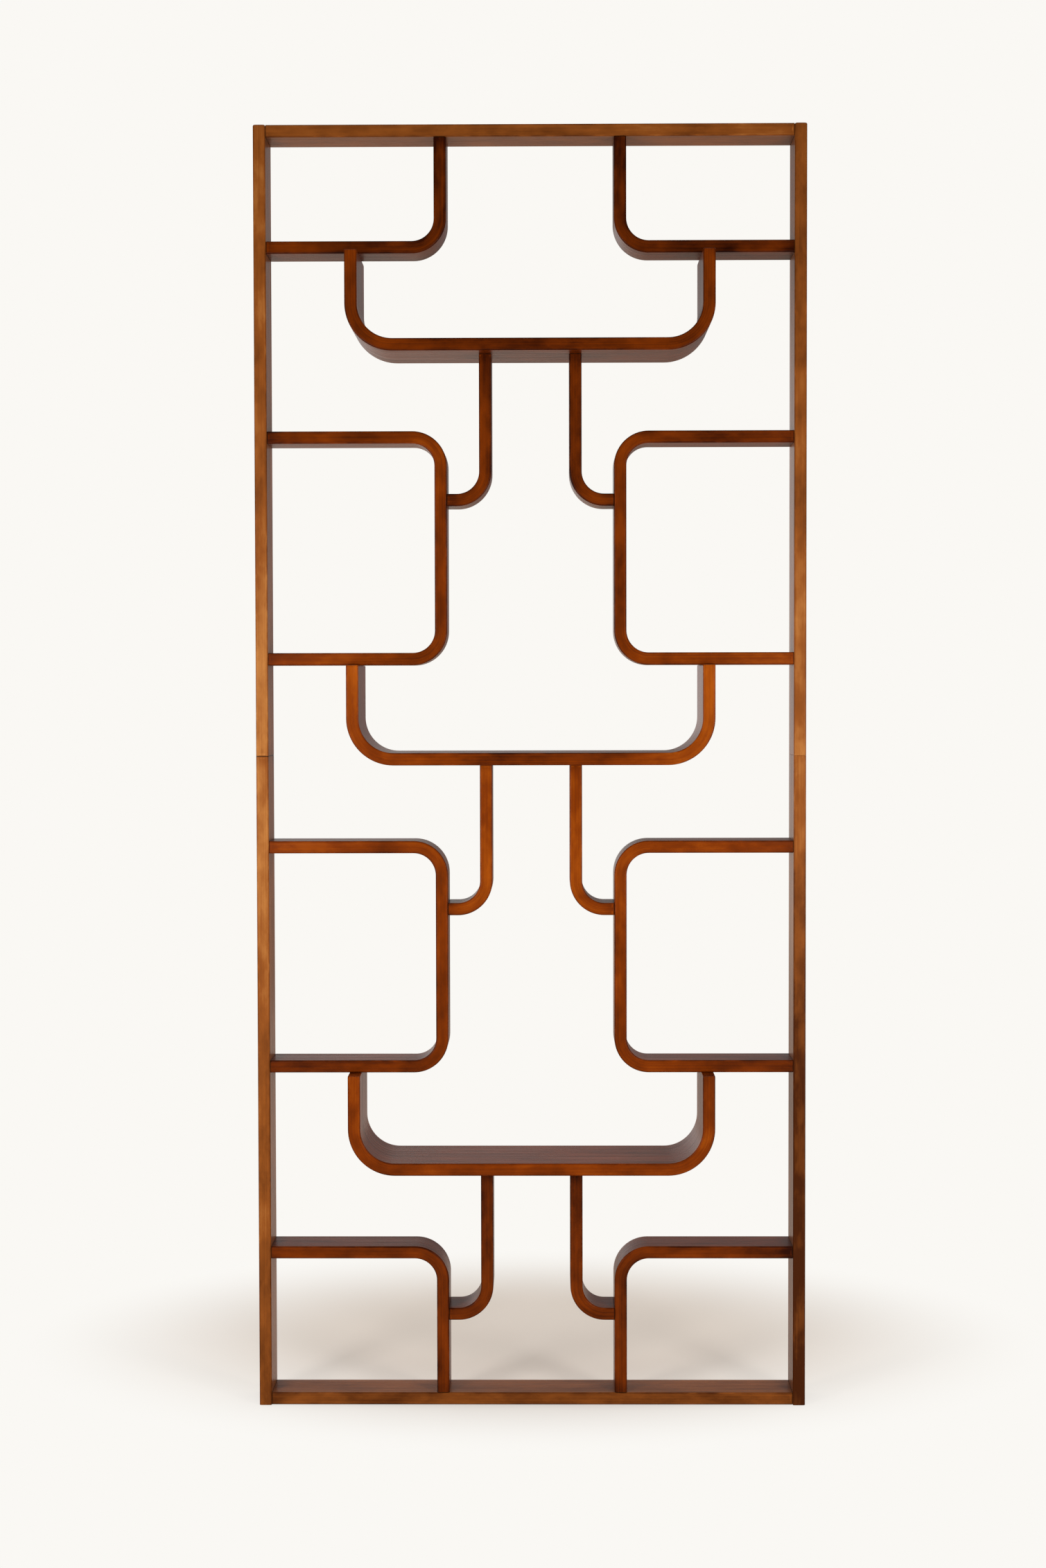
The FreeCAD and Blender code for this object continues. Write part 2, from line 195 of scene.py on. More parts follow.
def remember(tree, geometry, name, data_type, value):
    """Store a value on every point under a name."""
    inputs = {"Geometry": geometry, "Name": name, "Value": value}
    return add(tree, "GeometryNodeStoreNamedAttribute", inputs, data_type=data_type).outputs[0]


def recall(tree, name, data_type):
    """Read a stored value back."""
    node = add(tree, "GeometryNodeInputNamedAttribute", {"Name": name}, data_type=data_type)
    return in_use(node.outputs, "Attribute")


def make_path_group():
    """Bend a chain of corners into a path that knows its length and its own directions."""
    outputs = {"Path": "geometry", "Length": "number"}
    tree, given, result = start_group("board_path", "GeometryNodeTree", {"Route": "geometry"}, outputs)
    chain = add(tree, "GeometryNodeMeshToCurve", {"Mesh": given["Route"]}).outputs[0]
    bends = {"Curve": chain, "Count": BEND_STEPS, "Radius": recall(tree, "bend", "FLOAT")}
    bent = add(tree, "GeometryNodeFilletCurve", bends, mode="POLY").outputs[0]
    facing = {"Curve": bent, "Normal": THROUGH}
    level = add(tree, "GeometryNodeSetCurveNormal", facing, mode="FREE").outputs[0]
    along = add(tree, "GeometryNodeSplineParameter").outputs["Length"]
    tangent = add(tree, "GeometryNodeInputTangent").outputs[0]
    across = vector_calc(tree, "CROSS_PRODUCT", tangent, THROUGH)
    path = remember(tree, level, "board_along", "FLOAT", along)
    path = remember(tree, path, "across", "FLOAT_VECTOR", across)
    feed(tree, result["Path"], path)
    feed(tree, result["Length"], add(tree, "GeometryNodeCurveLength", {"Curve": level}).outputs[0])
    return tree


path_group = make_path_group()
print("path group has", len(path_group.nodes), "nodes")

# %% [markdown]
# ## The section of a board
#
# Seen on end, a board is a flat rectangle whose corners are eased by sanding. A Bevel modifier could round
# the edges after the sweep. Rounding the section before it gives the same edge with fewer steps, so this is
# a Quadrilateral with its own fillet. It remembers where in the section each point lies, as the path does
# for the length.

# %% Geometry group: section of a board
ROUND_STEPS = 4


def make_section_group():
    """Draw the eased rectangle that is swept along a path."""
    inputs = numbers("Thickness", "Depth", "Edge Round")
    tree, given, result = start_group("board_section", "GeometryNodeTree", inputs, {"Section": "geometry"})
    sides = {"Width": given["Depth"], "Height": given["Thickness"]}
    corners = add(tree, "GeometryNodeCurvePrimitiveQuadrilateral", sides).outputs[0]
    rounding = {"Curve": corners, "Count": ROUND_STEPS, "Radius": given["Edge Round"]}
    section = add(tree, "GeometryNodeFilletCurve", rounding, mode="POLY").outputs[0]
    place = add(tree, "GeometryNodeInputPosition").outputs[0]
    feed(tree, result["Section"], remember(tree, section, "board_section", "FLOAT_VECTOR", place))
    return tree


section_group = make_section_group()
print("section group has", len(section_group.nodes), "nodes")

# %% [markdown]
# ## Drawn-in tips
#
# The sawn ends are eased too, but not all alike: a butted end by a hair's breadth, a free end by a full
# rounding. One bevel for a whole board can't tell its ends apart. So the last rings of a swept board lie
# close together, and each is drawn in a little further than the one before. How far comes with the route.

# %% Geometry group: drawn-in tips
def make_tip_group():
    """Move the points of the end rings inwards, by what the route says."""
    board = {"Board": "geometry"}
    tree, given, result = start_group("drawn_in_tips", "GeometryNodeTree", board, board)
    drawn_in = parts_of(tree, recall(tree, "drawn_in", "FLOAT_VECTOR"))
    place = parts_of(tree, recall(tree, "board_section", "FLOAT_VECTOR"))
    in_across = calc(tree, "MULTIPLY", calc(tree, "SIGN", place["Y"]), drawn_in["X"])
    in_through = calc(tree, "MULTIPLY", calc(tree, "SIGN", place["X"]), drawn_in["Y"])
    sideways = vector_calc(tree, "SCALE", recall(tree, "across", "FLOAT_VECTOR"), in_across)
    backwards = vector_calc(tree, "SCALE", THROUGH, in_through)
    inwards = vector_calc(tree, "SCALE", vector_calc(tree, "ADD", sideways, backwards), -1.0)
    eased = add(tree, "GeometryNodeSetPosition", {"Geometry": given["Board"], "Offset": inwards})
    feed(tree, result["Board"], eased.outputs[0])
    return tree


tip_group = make_tip_group()
print("tip group has", len(tip_group.nodes), "nodes")

# %% [markdown]
# ## One tree for every board
#
# Every board could have a tree of its own. But all are made alike, so one tree can make them from a few
# inputs. It ties the three groups together: it sweeps the section along the path, draws in the tips and
# writes down what the finish wants to know. That is the reach of the board, which of its ends have a seam,
# and how light its stain is at the start, the middle and the end, painted light and shade included.

# %% Geometry tree: bent board
def without(tree, geometry, *names):
    """Forget stored values that only the tree itself needed."""
    for name in names:
        inputs = {"Geometry": geometry, "Name": name}
        geometry = add(tree, "GeometryNodeRemoveAttribute", inputs).outputs[0]
    return geometry


def finished(tree, geometry, finish):
    """End a tree: make copies real and give everything its finish."""
    real = add(tree, "GeometryNodeRealizeInstances", {"Geometry": geometry}).outputs[0]
    return add(tree, "GeometryNodeSetMaterial", {"Geometry": real, "Material": finish}).outputs[0]


def make_board_tree():
    """Sweep a board along its route, and store what its finish reads."""
    inputs = {
        "Route": "geometry",
        **numbers("Thickness", "Depth", "Edge Round"),
        "Ends": "vector",
        "Stain And Light": "vector",
        "Finish": "material",
    }
    tree, given, result = start_group("bent_board", "GeometryNodeTree", inputs, {"Board": "geometry"})
    path = use_group(tree, path_group, given)
    section = use_group(tree, section_group, given)
    sweep = {"Curve": path["Path"], "Profile Curve": section["Section"], "Fill Caps": True}
    swept = add(tree, "GeometryNodeCurveToMesh", sweep).outputs[0]
    board = use_group(tree, tip_group, {"Board": swept})["Board"]
    half_depth = calc(tree, "MULTIPLY", given["Depth"], 0.5)
    half_thickness = calc(tree, "MULTIPLY", given["Thickness"], 0.5)
    reach = vector(tree, path["Length"], half_depth, half_thickness)
    board = remember(tree, board, "board_reach", "FLOAT_VECTOR", reach)
    board = remember(tree, board, "board_ends", "FLOAT_VECTOR", given["Ends"])
    board = remember(tree, board, "board_stain_and_light", "FLOAT_VECTOR", given["Stain And Light"])
    board = without(tree, board, "across", "drawn_in", "bend")
    feed(tree, result["Board"], finished(tree, board, given["Finish"]))
    return tree


board_tree = make_board_tree()
print("board tree has", len(board_tree.nodes), "nodes")

# %% [markdown]
# ## Where the grain lies
#
# The finish starts from the values that the sweep wrote down. A UV map could hold two of them, but more are
# needed. This shader group reads them and turns them into distances: to the front or back edge, to the
# nearer broad face, to the nearest joint and to the nearer tip. A joint without a seam counts as far away.
# Each board also has a number of its own, so that no two show the same grain, and its stain, which drifts
# from the start over the middle to the end and also carries painted light and shade.

# %% Shader group: place on the board
FAR_AWAY = 10.0


def make_place_group():
    """Read what the sweep stored, as distances on the board."""
    places = numbers("Along", "Across", "Through", "To Edge", "To Face", "To Joint", "To Tip")
    outputs = {**places, **numbers("Own Number", "Stain And Light")}
    tree, _, result = start_group("board_place", "ShaderNodeTree", {}, outputs)

    def stored(name):
        return add(tree, "ShaderNodeAttribute", attribute_name=name).outputs

    along = stored("board_along")["Fac"]
    section = parts_of(tree, stored("board_section")["Vector"])
    reach = parts_of(tree, stored("board_reach")["Vector"])
    ends = parts_of(tree, stored("board_ends")["Vector"])
    stain_and_light = parts_of(tree, stored("board_stain_and_light")["Vector"])
    left = calc(tree, "SUBTRACT", reach["X"], along)
    to_start = add_up(tree, along, (calc(tree, "SUBTRACT", 1.0, ends["X"]), FAR_AWAY))
    to_end = add_up(tree, left, (calc(tree, "SUBTRACT", 1.0, ends["Y"]), FAR_AWAY))
    share = calc(tree, "DIVIDE", along, reach["X"])
    first_half = fade(tree, share, 0.0, 0.5, stain_and_light["X"], stain_and_light["Y"])
    feed(tree, result["Along"], along)
    feed(tree, result["Across"], section["Y"])
    feed(tree, result["Through"], section["X"])
    feed(tree, result["To Edge"], calc(tree, "SUBTRACT", reach["Y"], calc(tree, "ABSOLUTE", section["X"])))
    feed(tree, result["To Face"], calc(tree, "SUBTRACT", reach["Z"], calc(tree, "ABSOLUTE", section["Y"])))
    feed(tree, result["To Joint"], calc(tree, "MINIMUM", to_start, to_end))
    feed(tree, result["To Tip"], calc(tree, "MINIMUM", along, left))
    feed(tree, result["Own Number"], ends["Z"])
    feed(tree, result["Stain And Light"], fade(tree, share, 0.5, 1.0, first_half, stain_and_light["Z"]))
    return tree


place_group = make_place_group()
print("place group gives", [item.name for item in place_group.interface.items_tree])

# %% [markdown]
# ## Streaks, clouds, blotches and flecks
#
# Stain soaks into wood unevenly. Seen close, there are long streaks and short dark flecks. From a step away
# there are soft clouds and smaller blotches of darker and lighter brown. All four are noise, stretched along
# the board: the streaks most, the clouds and blotches least. A photograph of wood could be wrapped on
# instead, but it would repeat, and it would not turn round the bends.

# %% Shader group: stain grain
Pattern = namedtuple("Pattern", "along_scale side_scale own_step detail low high")
STREAKS = Pattern(4.0, 420.0, 7.3, 5.0, 0.30, 0.70)
CLOUDS = Pattern(6.0, 14.0, 3.1, 3.0, 0.30, 0.70)
BLOTCHES = Pattern(19.0, 45.0, 9.1, 4.0, 0.34, 0.66)
FLECKS = Pattern(90.0, 900.0, 5.7, 2.0, 0.62, 0.75)
PATTERN_ROUGHNESS = 0.6
SWING = 0.5


def noise(tree, place, detail, scale=1.0, roughness=0.5):
    """Add a Noise Texture and give back its value at a place."""
    inputs = {"Vector": place, "Scale": scale, "Detail": detail, "Roughness": roughness}
    return add(tree, "ShaderNodeTexNoise", inputs).outputs["Fac"]


def make_grain_group():
    """Give the flecks from 0 to 1, and the other patterns from one swing below 0 to one above."""
    inputs = numbers("Along", "Across", "Through", "Own Number")
    outputs = numbers("Streaks", "Clouds", "Blotches", "Flecks")
    tree, given, result = start_group("stain_grain", "ShaderNodeTree", inputs, outputs)

    def stretched(pattern):
        own = calc(tree, "MULTIPLY", given["Own Number"], pattern.own_step)
        along = calc(tree, "MULTIPLY_ADD", given["Along"], pattern.along_scale, own)
        across = calc(tree, "MULTIPLY_ADD", given["Across"], pattern.side_scale, own)
        through = calc(tree, "MULTIPLY", given["Through"], pattern.side_scale)
        place = vector(tree, along, across, through)
        return noise(tree, place, pattern.detail, roughness=PATTERN_ROUGHNESS)

    for label, pattern in (("Streaks", STREAKS), ("Clouds", CLOUDS), ("Blotches", BLOTCHES)):
        feed(tree, result[label], fade(tree, stretched(pattern), pattern.low, pattern.high, -SWING, SWING))
    feed(tree, result["Flecks"], fade(tree, stretched(FLECKS), FLECKS.low, FLECKS.high))
    return tree


grain_group = make_grain_group()
print("grain group has", len(grain_group.nodes), "nodes")

# %% [markdown]
# ## The veneers on edge
#
# The front and back edges of a bent board show its veneers as fine lines that run round the bends together.
# Each veneer takes the stain a little differently, and a thin dark line of glue lies between two of them.
# Every veneer could be a sheet of its own, but only its edge shows, so the finish draws it. All boards are
# equally thick, and the box of a straight one tells how thick.

# %% Shader group: veneers on edge
rail_low, rail_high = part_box("top_rail")
BOARD = rail_high.z - rail_low.z
VENEERS = 15
VENEER = BOARD / VENEERS
SHEET_OWN_STEP = 31.7
SHEET_DRIFT = 1.7
SHEET_SCALE = 0.93
SHEET_TONES = (0.3, 0.7)
GLUE_LINE = (0.02, 0.14)


def make_veneer_group():
    """Give each veneer a tone of its own, and mark the glue between two of them."""
    inputs = numbers("Along", "Across", "Own Number")
    outputs = numbers("Tone", "Glue Line")
    tree, given, result = start_group("veneers_on_edge", "ShaderNodeTree", inputs, outputs)
    place = calc(tree, "DIVIDE", given["Across"], VENEER)
    sheet = add_up(tree, calc(tree, "FLOOR", place), (given["Own Number"], SHEET_OWN_STEP))
    drift = calc(tree, "MULTIPLY", given["Along"], SHEET_DRIFT)
    tone = noise(tree, vector(tree, sheet, drift, 0.0), detail=1.0, scale=SHEET_SCALE)
    to_line = calc(tree, "PINGPONG", place, 0.5)
    feed(tree, result["Tone"], fade(tree, tone, *SHEET_TONES, -SWING, SWING))
    feed(tree, result["Glue Line"], near(tree, to_line, GLUE_LINE))
    return tree


veneer_group = make_veneer_group()
print("board and veneer in millimetres:", round(BOARD * 1000, 2), "and", round(VENEER * 1000, 2))

# %% [markdown]
# ## Edges, rubs, seams and painted shade
#
# The eased edges are darkened into fine lines, which is painted shade, and hands and cloths rub them pale
# again in patches.
# At a joint the stain gathers in a dark seam, and just beside it the wood is rubbed from fitting. Within
# three centimetres of a joint the wood is darker, partly stain and partly painted shade in the corner. The
# sawn ends soak up more stain than the sides. Masks like these could be painted by hand. Here they come from
# the distances alone, so every board gets them alike, and they stay with the edge in every view.

# %% Shader group: edges and seams
SAWN_END = (0.00001, 0.00008)
EDGE_BAND = (0.0012, 0.0035)
ROUNDING_BAND = (0.0004, 0.0034)
RUB_OWN_STEP = 11.3
RUB_ALONG_SCALE = 28.0
RUB_SIDE_SCALE = 90.0
RUB_PATCHES = (0.48, 0.70)
FITTING_STARTS = (0.0022, 0.0032)
FITTING_ENDS = (0.0036, 0.0060)
SEAM_BAND = (0.0005, 0.0014)
SEAM_STRENGTH = 0.8
# How far from a joint the wood is darkened, partly stain and partly painted shade.
JOINT_SHADE_BAND = (0.0, 0.03)


def make_wear_and_shade_group():
    """Turn distances into masks for edges, rubbed patches, seams, sawn ends and painted shade."""
    inputs = numbers("Along", "To Edge", "To Face", "To Joint", "To Tip", "Own Number")
    outputs = numbers("On Edge", "Rounding Shade", "Rubbed", "Seam", "Joint Stain And Shade", "Sawn End")
    tree, given, result = start_group("edges_and_seams", "ShaderNodeTree", inputs, outputs)
    to_joint = given["To Joint"]
    sawn_end = near(tree, given["To Tip"], SAWN_END)
    on_edge = near(tree, given["To Edge"], EDGE_BAND)
    corner = calc(tree, "MAXIMUM", given["To Edge"], given["To Face"])
    rounding = near(tree, corner, ROUNDING_BAND)
    own = calc(tree, "MULTIPLY", given["Own Number"], RUB_OWN_STEP)
    along = calc(tree, "MULTIPLY", given["Along"], RUB_ALONG_SCALE)
    sideways = calc(tree, "MULTIPLY", given["To Face"], RUB_SIDE_SCALE)
    patches = fade(tree, noise(tree, vector(tree, along, own, sideways), detail=4.0), *RUB_PATCHES)
    beside = fade(tree, to_joint, *FITTING_STARTS)
    fitted = calc(tree, "MULTIPLY", beside, near(tree, to_joint, FITTING_ENDS))
    rubbed = calc(tree, "MULTIPLY", calc(tree, "MAXIMUM", rounding, fitted), patches)
    feed(tree, result["On Edge"], calc(tree, "MAXIMUM", on_edge, sawn_end))
    # The eased edges' mask, used later to darken them as painted shade.
    feed(tree, result["Rounding Shade"], rounding)
    feed(tree, result["Rubbed"], rubbed)
    feed(tree, result["Seam"], near(tree, to_joint, SEAM_BAND, SEAM_STRENGTH))
    # Darkening near a joint: partly stain, partly painted shade in the corner.
    feed(tree, result["Joint Stain And Shade"], near(tree, to_joint, JOINT_SHADE_BAND))
    feed(tree, result["Sawn End"], sawn_end)
    return tree


wear_and_shade_group = make_wear_and_shade_group()
print("wear group has", len(wear_and_shade_group.nodes), "nodes")

# %% [markdown]
# ## The lacquered finishes
#
# All the wood is stained brown and lacquered to a soft gloss, but not all alike: the straight boards of the
# frame are a lighter amber, the bent boards a deeper red-brown. All that makes the wood darker or lighter,
# the painted light and shade included, is added up into one number, the tone, and a Color Ramp turns that
# number into a colour. Layers of colour could be mixed one over the other instead. But along one ramp every
# effect, painted shade too, works as more or less of one stain, and none of them can bring in a foreign
# colour. Colours are linear red, green and blue.

# %% Helpers: from tone to colour
AMBER_STOPS = ((0.065, 0.014, 0.002), (0.29, 0.082, 0.013), (0.62, 0.26, 0.065))
RED_BROWN_STOPS = ((0.025, 0.003, 0.0002), (0.20, 0.032, 0.0006), (0.46, 0.10, 0.0040))


def weighted(outputs, weights):
    """Pair some of a group's outputs with their weights."""
    return [(outputs[label], weight) for label, weight in weights.items()]


def stain_colour(tree, tone, stops):
    """Turn the tone, stain with painted light and shade, into a colour, from the darkest stop to the
    lightest.
    """
    ramp = add(tree, "ShaderNodeValToRGB", {"Fac": tone})
    ramp.color_ramp.elements.new(0.5)
    for element, colour in zip(ramp.color_ramp.elements, stops):
        element.color = (*colour, 1.0)
    return ramp.outputs["Color"]


def new_finish(name):
    """Start a material, and give it back with its tree."""
    finish = bpy.data.materials.new(name)
    finish.use_nodes = True
    return finish, finish.node_tree


def feed_shader(tree, colour, roughness, height, relief):
    """Feed a material's own shader with colour, roughness and relief, and give it back."""
    shader = tree.nodes["Principled BSDF"]
    normal = add(tree, "ShaderNodeBump", {"Height": height, **relief}).outputs["Normal"]
    for label, value in {"Base Color": colour, "Roughness": roughness, "Normal": normal}.items():
        feed(tree, shader.inputs[label], value)
    return shader


print("middle of the ramps:", AMBER_STOPS[1], "and", RED_BROWN_STOPS[1])

# %% [markdown]
# One function builds both finishes. The edges of the boards differ a lot in tone, the broad faces much less,
# so each has a sum of its own, and the edge's mask blends the two. The streaks also make the lacquer a
# little duller or smoother and raise it by a hair. Its gloss is the same all over, so it is one number on
# the shader.

# %% Materials: lacquered wood
SEAM_COLOUR = (0.012, 0.005, 0.002, 1.0)
BROAD_FACE_STAIN = 0.22
BROAD_FACE_SHARE = 0.25
ON_EDGE = {"Clouds": 0.28, "Blotches": 0.16, "Streaks": 0.10, "Flecks": -0.06}
ON_BROAD_FACE = {"Clouds": 0.15, "Blotches": 0.08, "Streaks": 0.22, "Flecks": -0.15}
# Darkening the eased edges is painted shade, darkening near a joint is partly stain and partly painted
# shade; the rubbed patches and the darker sawn ends are wear and stain.
FROM_WEAR_AND_SHADE = {"Rounding Shade": -0.20, "Rubbed": 0.30, "Joint Stain And Shade": -0.12, "Sawn End": -0.15}
DULL_TO_SMOOTH = (0.34, 0.26)
RAISED_SHARE = 0.5
LACQUER_RELIEF = {"Strength": 0.22, "Distance": 0.0004}
GLOSS = 0.06
AMBER_VENEERS = 0.05
RED_BROWN_VENEERS = 0.09


def lacquered_wood(name, stops, veneer_share):
    """Make a stained and lacquered finish."""
    finish, tree = new_finish(name)
    place = use_group(tree, place_group)
    grain = use_group(tree, grain_group, place)
    sheets = use_group(tree, veneer_group, place)
    wear_and_shade = use_group(tree, wear_and_shade_group, place)

    edge = add_up(tree, place["Stain And Light"], *weighted(grain, ON_EDGE))
    edge = add_up(tree, edge, (sheets["Tone"], veneer_share), (sheets["Glue Line"], -veneer_share))
    broad = calc(tree, "MULTIPLY_ADD", place["Stain And Light"], BROAD_FACE_SHARE, BROAD_FACE_STAIN)
    broad = add_up(tree, broad, *weighted(grain, ON_BROAD_FACE))
    tone = blend(tree, wear_and_shade["On Edge"], broad, edge)
    # Painted shade on the eased edges and near joints, with the rubs and the sawn ends.
    tone = add_up(tree, tone, *weighted(wear_and_shade, FROM_WEAR_AND_SHADE))
    colour = blend(tree, wear_and_shade["Seam"], stain_colour(tree, tone, stops), SEAM_COLOUR, "RGBA")

    roughness = fade(tree, grain["Streaks"], -SWING, SWING, *DULL_TO_SMOOTH)
    glue = calc(tree, "MULTIPLY", sheets["Glue Line"], veneer_share)
    pores = calc(tree, "MAXIMUM", grain["Flecks"], glue)
    height = calc(tree, "MULTIPLY", grain["Streaks"], RAISED_SHARE)
    height = add_up(tree, height, (pores, -RAISED_SHARE))
    shader = feed_shader(tree, colour, roughness, height, LACQUER_RELIEF)
    shader.inputs["Specular IOR Level"].default_value = GLOSS
    return finish


amber = lacquered_wood("amber_wood", AMBER_STOPS, AMBER_VENEERS)
red_brown = lacquered_wood("red_brown_wood", RED_BROWN_STOPS, RED_BROWN_VENEERS)
print("finishes:", amber.name, "and", red_brown.name)

# %% [markdown]
# ## The route of each board
#
# A route could be drawn by hand for every board, but then a changed size would mean drawing it again. Here
# it is a short list of corners inside the piece's box: low or high across the screen, low or high up it.
# Walking along them and stopping half a thickness inside the box gives the middle of the board.

# %% Routes from the boxes
DOWN_AND_OUT = ((1, 1), (1, -1), (-1, -1))
OUT_AND_DOWN = ((-1, 1), (1, 1), (1, -1))
C_SHAPE = ((-1, 1), (1, 1), (1, -1), (-1, -1))
U_SHAPE = ((-1, 1), (-1, -1), (1, -1), (1, 1))
STRAIGHT_UP = ((0, -1), (0, 1))
STRAIGHT_ACROSS = ((-1, 0), (1, 0))


def mirrored(corners):
    """Turn a left-hand route into its right-hand twin."""
    return tuple((-across, up) for across, up in corners)


def board_corners(node, corners):
    """Walk through a piece's box, and list the corners of the board's middle line with both headings."""
    low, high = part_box(node)
    middle = (low + high) / 2
    inner = (high - low) / 2 - Vector((BOARD / 2, 0, BOARD / 2))
    points = [Vector((middle.x + x * inner.x, middle.y, middle.z + z * inner.z)) for x, z in corners]
    first_heading = (points[1] - points[0]).normalized()
    last_heading = (points[-1] - points[-2]).normalized()
    points[0] -= first_heading * (BOARD / 2)
    points[-1] += last_heading * (BOARD / 2)
    return points, first_heading, last_heading


tray_points = board_corners("lower_tray", U_SHAPE)[0]
print("lower tray turns at", [[round(number, 3) for number in point] for point in tray_points])

# %% [markdown]
# ## The ends of a board
#
# All ends could be cut square and left alike, but then no joint would show. An end that butts against
# another board has a hair's breadth of easing and a seam of stain, so the joint reads as a fine dark line. A
# foot, or an end that is fitted more closely, has the easing alone. The tops of the uprights stand free, and
# the trays are deeper than what they hang from, so those ends show their corners and are rounded like the
# other edges. A rounding is a quarter circle, in a few rings.

# %% Ends and their rings
EDGE_ROUND = 0.003
JOINT_EASE = 0.0004
TIP_STEPS = 5
QUARTER_TURN = math.pi / 2
End = namedtuple("End", "across through seam")
BUTTED = End(JOINT_EASE, JOINT_EASE, 1.0)
FITTED = End(JOINT_EASE, JOINT_EASE, 0.0)
FREE = End(EDGE_ROUND, EDGE_ROUND, 0.0)
TRAY_TIP = End(JOINT_EASE, EDGE_ROUND, 0.0)


def tip_rings(end):
    """List the distances from a board's end, and how far the section is drawn in at each."""
    widest = max(end.across, end.through)
    steps = 1 if widest <= JOINT_EASE else TIP_STEPS
    rings = []
    for step in range(steps + 1):
        angle = QUARTER_TURN * step / steps
        share = 1 - math.sin(angle)
        rings.append((widest * (1 - math.cos(angle)), (end.across * share, end.through * share, 0.0)))
    return rings


def board_route(points, first_heading, last_heading, bend, ends):
    """List each point of a route with its bend and its drawn-in section."""
    start_rings = tip_rings(ends[0])
    end_rings = reversed(tip_rings(ends[1]))
    route = [(points[0] + first_heading * gap, 0.0, drawn) for gap, drawn in start_rings]
    route += [(point, bend - BOARD / 2, (0.0, 0.0, 0.0)) for point in points[1:-1]]
    route += [(points[-1] - last_heading * gap, 0.0, drawn) for gap, drawn in end_rings]
    return route


print("rings at a butted end:", len(tip_rings(BUTTED)), "and at a free one:", len(tip_rings(FREE)))

# %% [markdown]
# ## Sweep one board
#
# Each route becomes a small chain of vertices, the tree sweeps it, and the result is frozen to a plain mesh.
# A live modifier would be easier to change later, but a frozen mesh is what travels to other programs. The
# inputs of the modifier are set by each socket's identifier before anything is evaluated.

# %% Functions: pieces and modifiers
def new_piece(name, data):
    """Put a mesh, a light or a camera into the scene, at the origin."""
    piece = bpy.data.objects.new(name, data)
    bpy.context.scene.collection.objects.link(piece)
    return piece


def plain_mesh(piece, name):
    """Freeze a piece's modifiers into a plain mesh, and remove them."""
    graph = bpy.context.evaluated_depsgraph_get()
    mesh = bpy.data.meshes.new_from_object(piece.evaluated_get(graph), depsgraph=graph)
    mesh.name = name
    rough = piece.data
    piece.modifiers.clear()
    piece.data = mesh
    bpy.data.meshes.remove(rough)
    return mesh


def add_tree(piece, name, tree, values):
    """Give a piece a Geometry Nodes modifier with these inputs."""
    modifier = piece.modifiers.new(name, "NODES")
    modifier.node_group = tree
    for item in inputs_of(tree):
        if item.name in values:
            modifier[item.identifier] = values[item.name]


print("inputs of the board tree:", ", ".join(item.name for item in inputs_of(board_tree)))

# %% [markdown]
# A chain of vertices carries two values for each point: the radius of its bend, and how far the section is
# drawn in there. Vertices without faces are enough, because Mesh to Curve turns the chain into a curve. A
# Weighted Normal modifier keeps the flat faces flat in the shading, so that only the eased edges turn the
# light.

# %% Function: sweep one board
SHARP_ANGLE = math.radians(50)


def route_mesh(name, route):
    """Make a chain of vertices that carries each point's bend and drawn-in section."""
    chain = bpy.data.meshes.new(name)
    links = [(index, index + 1) for index in range(len(route) - 1)]
    chain.from_pydata([point for point, bend, drawn in route], links, [])
    bends = chain.attributes.new("bend", "FLOAT", "POINT")
    bends.data.foreach_set("value", [bend for point, bend, drawn in route])
    drawn_in = chain.attributes.new("drawn_in", "FLOAT_VECTOR", "POINT")
    drawn_in.data.foreach_set("vector", [number for point, bend, drawn in route for number in drawn])
    return chain


def sweep_board(name, route, depth, ends, stain_and_light, finish):
    """Sweep one board along its route, and give it its finish."""
    piece = new_piece(name, route_mesh(f"{name}_route", route))
    sizes = {"Thickness": BOARD, "Depth": depth, "Edge Round": EDGE_ROUND}
    add_tree(piece, "Sweep", board_tree, {**sizes, "Ends": ends, "Stain And Light": stain_and_light, "Finish": finish})
    mesh = plain_mesh(piece, name)
    mesh.shade_smooth()
    mesh.set_sharp_from_angle(angle=SHARP_ANGLE)
    flatten = piece.modifiers.new("FlatFaces", "WEIGHTED_NORMAL")
    flatten.keep_sharp = True
    plain_mesh(piece, name)
    return piece


print("edges sharper than", round(math.degrees(SHARP_ANGLE)), "degrees stay crisp")

# %% [markdown]
# ## The list of boards
#
# Left and right are twins, so the list is made by loops. Each entry says which measured piece the board
# stands for, its corners and its bend, what its two ends are, which dowels hold them, and its finish. Only
# the splices differ: stain has gathered in the left one, while the right one hardly shows. A box doesn't
# tell how round a bend is, so the two radii are named here.

# %% List all the boards
Board = namedtuple("Board", "node corners bend ends dowels finish slot")
NO_BEND = 0
BEND_RADIUS = 0.063
TRAY_BEND_RADIUS = 0.085
BOTH_BUTTED = (BUTTED,) * 2
TRAY_TIPS = (TRAY_TIP,) * 2
SPLICE_DOWELS = "upright_splice_dowels"
SHELF_DOWELS = ("corner_shelf_dowels",) * 2
BOX_DOWELS = ("box_dowels",) * 2
HOOK_DOWELS = ("hook_top_dowels", "hook_toe_dowels")
RAIL_DOWELS = ("rail_dowels",) * 2
TRAY_DOWELS = ("tray_dowels",) * 2

